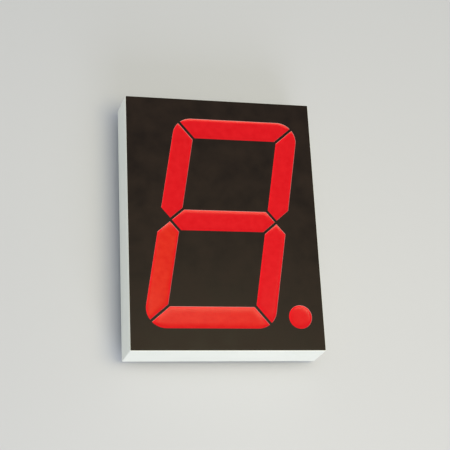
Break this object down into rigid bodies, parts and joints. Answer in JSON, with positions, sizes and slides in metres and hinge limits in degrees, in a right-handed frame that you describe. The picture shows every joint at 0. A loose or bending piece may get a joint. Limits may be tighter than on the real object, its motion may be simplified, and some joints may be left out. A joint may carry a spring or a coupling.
{
  "type": "led display",
  "caption": "LED numeral display with slanted red bar segments and a round decimal point in a black face, on a white moulded body with rows of solder pins behind.",
  "frame": {"origin": "middle of the body's rear rim, on the plane that seats on a circuit board", "axes": "+X across the face to the right, +Y towards the top of the digit, +Z out of the face"},
  "size_m": [0.0918, 0.1238, 0.025],
  "materials": {
    "housing": "satin white moulding",
    "face": "matt black print",
    "diffuser": "cast red resin",
    "board": "green solder mask",
    "led": "clear resin on a pale base",
    "pin": "tin plated"
  },
  "bodies": {
    "root": {"housing": "housing", "face_film": "face", "circuit_board": "board", "decimal_point": "diffuser", "leds_point": "led", "segment_a": "diffuser", "segment_b": "diffuser", "segment_c": "diffuser", "segment_d": "diffuser", "segment_e": "diffuser", "segment_f": "diffuser", "segment_g": "diffuser", "leds_a": "led", "leds_b": "led", "leds_c": "led", "leds_d": "led", "leds_e": "led", "leds_f": "led", "leds_g": "led", "pin_1": "pin", "pin_2": "pin", "pin_3": "pin", "pin_4": "pin", "pin_5": "pin", "pin_6": "pin", "pin_7": "pin", "pin_8": "pin", "pin_9": "pin", "pin_10": "pin"}
  },
  "joints": []
}
